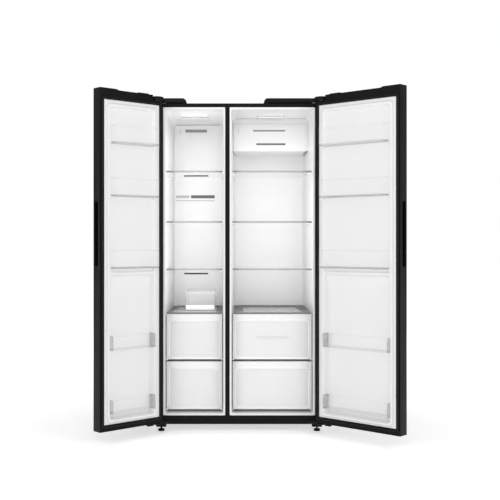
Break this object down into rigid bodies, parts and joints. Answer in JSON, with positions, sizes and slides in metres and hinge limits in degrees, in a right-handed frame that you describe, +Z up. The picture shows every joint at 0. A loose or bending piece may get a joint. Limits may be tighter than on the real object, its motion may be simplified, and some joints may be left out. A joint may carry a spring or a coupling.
{
  "type": "side by side refrigerator",
  "caption": "Upright black two-door refrigerator standing open: freezer at left, fresh food side at right, with glass shelves, clear drawers and door bins.",
  "frame": {"origin": "on the floor, under the middle of the box round the open refrigerator", "axes": "+Z up, -Y the way the refrigerator faces, +X to the right seen from the front"},
  "size_m": [1.5638, 1.0542, 1.7845],
  "materials": {
    "black_painted_steel": "satin",
    "black_plastic": "matte",
    "white_liner": "gloss",
    "clear_plastic": "gloss",
    "frosted_plastic": "satin",
    "shelf_glass": "gloss",
    "grey_glass": "gloss",
    "lamp_lens": "satin",
    "gasket_rubber": "matte",
    "foam": "matte",
    "aluminium_fins": "satin",
    "black_paint": "gloss",
    "zinc_steel": "satin"
  },
  "bodies": {
    "cabinet": {"cabinet_shell": "black_painted_steel", "back_panel": "zinc_steel", "base_frame": "zinc_steel", "front_frame": "black_plastic", "freezer_liner": "white_liner", "fridge_liner": "white_liner", "insulation_foam": "foam", "upper_hinge_left": "zinc_steel", "hinge_cover_left": "black_plastic", "lower_hinge_left": "zinc_steel", "upper_hinge_right": "zinc_steel", "hinge_cover_right": "black_plastic", "lower_hinge_right": "zinc_steel", "roller_axle_left": "zinc_steel", "roller_axle_right": "zinc_steel", "compressor": "black_paint", "condenser_coil": "black_paint", "drip_tray": "black_plastic", "machine_cover": "zinc_steel", "power_inlet": "black_plastic", "evaporator": "aluminium_fins", "fan_motor": "zinc_steel", "freezer_air_panel": "white_liner", "fridge_air_duct": "white_liner", "freezer_lamp": "lamp_lens", "fridge_lamp": "lamp_lens", "freezer_drawer_cover": "grey_glass", "fridge_drawer_cover": "grey_glass"},
    "freezer_door": {"freezer_door_panel": "black_painted_steel", "freezer_door_liner": "white_liner", "freezer_door_gasket": "gasket_rubber"},
    "fridge_door": {"fridge_door_panel": "black_painted_steel", "fridge_door_liner": "white_liner", "fridge_door_gasket": "gasket_rubber"},
    "freezer_drawer_upper": {"freezer_drawer_upper": "frosted_plastic"},
    "freezer_drawer_lower": {"freezer_drawer_lower": "frosted_plastic"},
    "fridge_drawer_upper": {"fridge_drawer_upper": "frosted_plastic"},
    "fridge_drawer_lower": {"fridge_drawer_lower": "frosted_plastic"},
    "freezer_shelf_1": {"freezer_shelf_1": "shelf_glass"},
    "freezer_shelf_2": {"freezer_shelf_2": "shelf_glass"},
    "freezer_shelf_3": {"freezer_shelf_3": "shelf_glass"},
    "fridge_shelf_1": {"fridge_shelf_1": "shelf_glass"},
    "fridge_shelf_2": {"fridge_shelf_2": "shelf_glass"},
    "fridge_shelf_3": {"fridge_shelf_3": "shelf_glass"},
    "ice_box": {"ice_box": "clear_plastic"},
    "freezer_door_bin_1": {"freezer_door_bin_1": "clear_plastic"},
    "freezer_door_bin_2": {"freezer_door_bin_2": "clear_plastic"},
    "freezer_door_bin_3": {"freezer_door_bin_3": "clear_plastic"},
    "freezer_door_bin_4": {"freezer_door_bin_4": "clear_plastic"},
    "freezer_door_bin_5": {"freezer_door_bin_5": "clear_plastic"},
    "fridge_door_bin_1": {"fridge_door_bin_1": "clear_plastic"},
    "fridge_door_bin_2": {"fridge_door_bin_2": "clear_plastic"},
    "fridge_door_bin_3": {"fridge_door_bin_3": "clear_plastic"},
    "fridge_door_bin_4": {"fridge_door_bin_4": "clear_plastic"},
    "fridge_door_bin_5": {"fridge_door_bin_5": "clear_plastic"},
    "evaporator_fan": {"evaporator_fan": "black_plastic"},
    "foot_left": {"foot_left": "black_plastic"},
    "roller_left": {"roller_left": "black_plastic"},
    "foot_right": {"foot_right": "black_plastic"},
    "roller_right": {"roller_right": "black_plastic"}
  },
  "joints": [
    {"name": "door_freezer", "type": "hinge", "parent": "cabinet", "child": "freezer_door", "pos_m": [-0.48356, -0.16387, 0.057], "axis": [0, 0, 1], "range_deg": [0, 138.5]},
    {"name": "door_fridge", "type": "hinge", "parent": "cabinet", "child": "fridge_door", "pos_m": [0.38844, -0.16387, 0.057], "axis": [0, 0, -1], "range_deg": [0, 138.5]},
    {"name": "drawer_freezer_upper", "type": "slide", "parent": "cabinet", "child": "freezer_drawer_upper", "axis": [0, 1, 0], "range_m": [-0.32, 0]},
    {"name": "drawer_freezer_lower", "type": "slide", "parent": "cabinet", "child": "freezer_drawer_lower", "axis": [0, 1, 0], "range_m": [-0.24, 0]},
    {"name": "drawer_fridge_upper", "type": "slide", "parent": "cabinet", "child": "fridge_drawer_upper", "axis": [0, 1, 0], "range_m": [-0.32, 0]},
    {"name": "drawer_fridge_lower", "type": "slide", "parent": "cabinet", "child": "fridge_drawer_lower", "axis": [0, 1, 0], "range_m": [-0.24, 0]},
    {"name": "shelf_freezer_1", "type": "slide", "parent": "cabinet", "child": "freezer_shelf_1", "axis": [0, 1, 0], "range_m": [-0.2, 0]},
    {"name": "shelf_freezer_2", "type": "slide", "parent": "cabinet", "child": "freezer_shelf_2", "axis": [0, 1, 0], "range_m": [-0.2, 0]},
    {"name": "shelf_freezer_3", "type": "slide", "parent": "cabinet", "child": "freezer_shelf_3", "axis": [0, 1, 0], "range_m": [-0.2, 0]},
    {"name": "shelf_fridge_1", "type": "slide", "parent": "cabinet", "child": "fridge_shelf_1", "axis": [0, 1, 0], "range_m": [-0.2, 0]},
    {"name": "shelf_fridge_2", "type": "slide", "parent": "cabinet", "child": "fridge_shelf_2", "axis": [0, 1, 0], "range_m": [-0.2, 0]},
    {"name": "shelf_fridge_3", "type": "slide", "parent": "cabinet", "child": "fridge_shelf_3", "axis": [0, 1, 0], "range_m": [-0.2, 0]},
    {"name": "ice_box_slide", "type": "slide", "parent": "cabinet", "child": "ice_box", "axis": [0, 1, 0], "range_m": [-0.14, 0]},
    {"name": "lift_freezer_bin_1", "type": "slide", "parent": "freezer_door", "child": "freezer_door_bin_1", "axis": [0, 0, 1], "range_m": [0, 0.03]},
    {"name": "lift_freezer_bin_2", "type": "slide", "parent": "freezer_door", "child": "freezer_door_bin_2", "axis": [0, 0, 1], "range_m": [0, 0.03]},
    {"name": "lift_freezer_bin_3", "type": "slide", "parent": "freezer_door", "child": "freezer_door_bin_3", "axis": [0, 0, 1], "range_m": [0, 0.03]},
    {"name": "lift_freezer_bin_4", "type": "slide", "parent": "freezer_door", "child": "freezer_door_bin_4", "axis": [0, 0, 1], "range_m": [0, 0.03]},
    {"name": "lift_freezer_bin_5", "type": "slide", "parent": "freezer_door", "child": "freezer_door_bin_5", "axis": [0, 0, 1], "range_m": [0, 0.03]},
    {"name": "lift_fridge_bin_1", "type": "slide", "parent": "fridge_door", "child": "fridge_door_bin_1", "axis": [0, 0, 1], "range_m": [0, 0.03]},
    {"name": "lift_fridge_bin_2", "type": "slide", "parent": "fridge_door", "child": "fridge_door_bin_2", "axis": [0, 0, 1], "range_m": [0, 0.03]},
    {"name": "lift_fridge_bin_3", "type": "slide", "parent": "fridge_door", "child": "fridge_door_bin_3", "axis": [0, 0, 1], "range_m": [0, 0.03]},
    {"name": "lift_fridge_bin_4", "type": "slide", "parent": "fridge_door", "child": "fridge_door_bin_4", "axis": [0, 0, 1], "range_m": [0, 0.03]},
    {"name": "lift_fridge_bin_5", "type": "slide", "parent": "fridge_door", "child": "fridge_door_bin_5", "axis": [0, 0, 1], "range_m": [0, 0.03]},
    {"name": "fan_spin", "type": "hinge", "parent": "cabinet", "child": "evaporator_fan", "pos_m": [-0.28706, 0.43913, 1.052], "axis": [0, 1, 0], "continuous": true},
    {"name": "foot_left_turn", "type": "hinge", "parent": "cabinet", "child": "foot_left", "pos_m": [-0.46356, -0.10487, 0], "axis": [0, 0, 1], "continuous": true},
    {"name": "roller_left_roll", "type": "hinge", "parent": "cabinet", "child": "roller_left", "pos_m": [-0.45556, 0.47713, 0.0185], "axis": [1, 0, 0], "continuous": true},
    {"name": "foot_right_turn", "type": "hinge", "parent": "cabinet", "child": "foot_right", "pos_m": [0.36844, -0.10487, 0], "axis": [0, 0, 1], "continuous": true},
    {"name": "roller_right_roll", "type": "hinge", "parent": "cabinet", "child": "roller_right", "pos_m": [0.36044, 0.47713, 0.0185], "axis": [1, 0, 0], "continuous": true}
  ]
}
